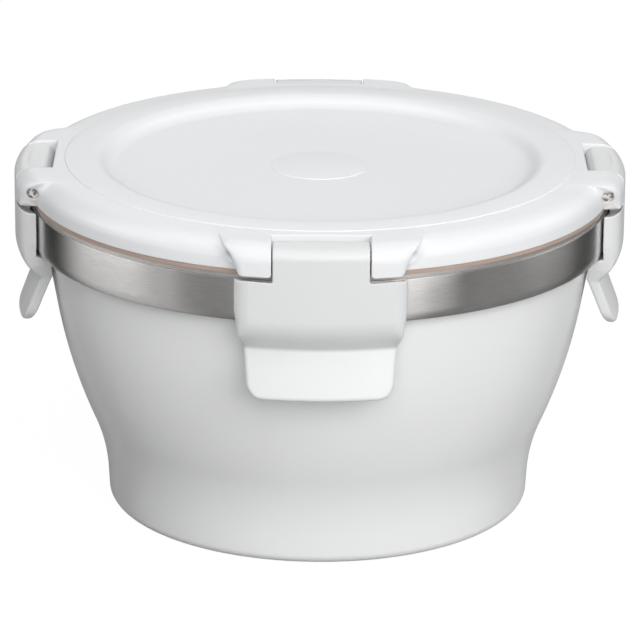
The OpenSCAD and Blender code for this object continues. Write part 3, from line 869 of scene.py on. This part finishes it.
def make_world():
    """White for the camera, the studio's grey panels in reflections, and no light of its own."""
    world = bpy.data.worlds.new("studio")
    world.use_nodes = True
    world.cycles.sampling_method = "NONE"
    tree = world.node_tree

    def node(kind, inputs=(), **settings):
        made = tree.nodes.new(kind)
        for key, value in settings.items():
            setattr(made, key, value)
        for key, value in dict(inputs).items():
            if isinstance(value, bpy.types.NodeSocket):
                tree.links.new(value, made.inputs[key])
            else:
                made.inputs[key].default_value = value
        return made

    def value(operation, first, second):
        return node("ShaderNodeMath", {0: first, 1: second}, operation=operation).outputs[0]

    split = node("ShaderNodeSeparateXYZ",
                 {0: node("ShaderNodeTexCoord").outputs["Generated"]}).outputs
    turn = value("ARCTAN2", split[0], value("MULTIPLY", split[1], -1.0))
    share = value("ADD", value("DIVIDE", turn, 2 * math.pi), 0.5)
    panels = node("ShaderNodeValToRGB", {0: share})
    ramp = panels.color_ramp
    ramp.elements[0].position, ramp.elements[1].position = 0.0, 1.0
    for element in ramp.elements:
        element.color = (PANELS[0][1],) * 3 + (1,)
    for azimuth, level in PANELS[1:-1]:
        ramp.elements.new(azimuth / 360 + 0.5).color = (level, level, level, 1)
    ground = node("ShaderNodeMapRange", {
        "Value": split[2], "From Min": -0.96, "From Max": -0.76, "To Min": 0.0, "To Max": 0.95,
    }).outputs[0]
    glow = value("MULTIPLY", panels.outputs[0], ground)
    path = node("ShaderNodeLightPath").outputs
    level = value("ADD", path["Is Camera Ray"], value("MULTIPLY", path["Is Glossy Ray"], glow))
    background = tree.nodes["Background"]
    background.inputs["Color"].default_value = (1, 1, 1, 1)
    tree.links.new(level, background.inputs["Strength"])
    bpy.context.scene.world = world


LAMP_DISTANCE = 1.5
LAMP_SIZE = 0.9
SIDE_LAMP_H = 0.7
LAMP_AIM_Z = 0.05
CARD_DISTANCE = 0.21
CARD_W = 0.30
CARD_FLOOR_GAP = 0.002
FLOOR_HALF = 3.0


def softbox(name, azimuth, elevation, height, power):
    """A lamp that faces the object, placed by its direction: 0 is in front, 90 to the right."""
    turn, rise = math.radians(azimuth), math.radians(elevation)
    target = Vector((0, 0, LAMP_AIM_Z))
    ahead = Vector((math.sin(turn) * math.cos(rise), -math.cos(turn) * math.cos(rise),
                    math.sin(rise)))
    data = bpy.data.lights.new(name, "AREA")
    data.shape = "RECTANGLE"
    data.size, data.size_y, data.energy = LAMP_SIZE, height, power
    lamp = bpy.data.objects.new(name, data)
    lamp.location = target + ahead * LAMP_DISTANCE
    lamp.rotation_euler = (-ahead).to_track_quat("-Z", "Y").to_euler()
    bpy.context.scene.collection.objects.link(lamp)
    return lamp


def card(name, azimuth, height):
    """A low black card that stands on the floor, unseen itself, and keeps light from one side."""
    turn = math.radians(azimuth)
    across = Vector((math.cos(turn), math.sin(turn), 0)) * CARD_W / 2
    foot = Vector((math.sin(turn), -math.cos(turn), 0)) * CARD_DISTANCE
    foot.z = CARD_FLOOR_GAP
    rise = Vector((0, 0, height))
    corners = [foot - across, foot + across, foot + across + rise, foot - across + rise]
    mesh = bpy.data.meshes.new(name)
    mesh.from_pydata([tuple(p) for p in corners], [], [(0, 1, 2, 3)])
    made = bpy.data.objects.new(name, mesh)
    bpy.context.scene.collection.objects.link(made)
    finish(made, Shader("card_black", (0.02, 0.02, 0.02), Roughness=0.9).material)
    made.visible_camera = False
    made.visible_glossy = False


def make_lights():
    """Soft boxes in front and to the right, weaker ones to the left and behind, and two low
    black cards beside the bowl that darken its edges."""
    softbox("front_right", 35, 25, LAMP_SIZE, 11.5)
    softbox("front_low", 0, 25, LAMP_SIZE, 8)
    softbox("front_high", 0, 58, LAMP_SIZE, 3.5)
    softbox("left_side", -90, 20, SIDE_LAMP_H, 7)
    softbox("left_high", -80, 58, LAMP_SIZE, 4)
    softbox("right_side", 105, 28, LAMP_SIZE, 6)
    softbox("back_low", 180, 30, LAMP_SIZE, 2.5)
    softbox("back_high", 180, 58, LAMP_SIZE, 2)
    card("card_left", -104, 0.108)
    card("card_right", 104, 0.075)


# Putting it together

def dress():
    lid_white = moulded_plastic("lid_white", (0.815, 0.825, 0.835), (0.80, 0.81, 0.82), 0.42)
    latch_white = moulded_plastic("latch_white", (0.745, 0.75, 0.755), (0.73, 0.735, 0.74), 0.36)
    collar_steel = brushed_steel("collar_steel", (0.74, 0.73, 0.715), 0.30)
    rim_steel = brushed_steel("rim_steel", (0.64, 0.62, 0.605), 0.5, 0.3)
    pin_steel = cut_steel("pin_steel", (0.86, 0.83, 0.79), 1300)
    getter_metal = plain_steel("getter_metal", (0.30, 0.30, 0.31), 0.6, 900)

    shell = make_shell()
    finish(shell, coated_steel())
    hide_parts("outer_shell")
    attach(shell, "bowl")

    collar = make_collar()
    finish(collar, collar_steel)
    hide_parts("rim_collar")
    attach(collar, "bowl")

    liner = make_liner()
    finish(liner, rim_steel)
    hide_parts("inner_liner")
    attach(liner, "bowl")

    seal = make_seal()
    finish(seal, silicone())
    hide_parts("lid_seal")
    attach(seal, "lid")

    ring = make_lid_ring()
    top = make_lid_top()
    for piece in (ring, top):
        finish(piece, lid_white)
        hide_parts("lid_cover")
        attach(piece, "lid")

    for piece, side in zip(make_latches(), SIDES):
        finish(piece, latch_white)
        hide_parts("latch_" + side)
        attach(piece, "latch_" + side)

    finish(nodes["lid_liner"], lid_white)
    for name in ("base_plate", "vacuum_plug"):
        finish(nodes[name], rim_steel)
    finish(nodes["getter"], getter_metal)
    for side in SIDES:
        finish(nodes["pin_" + side], pin_steel)


dress()
make_camera()
make_floor()
make_world()
make_lights()
bpy.context.scene.view_settings.view_transform = "Standard"
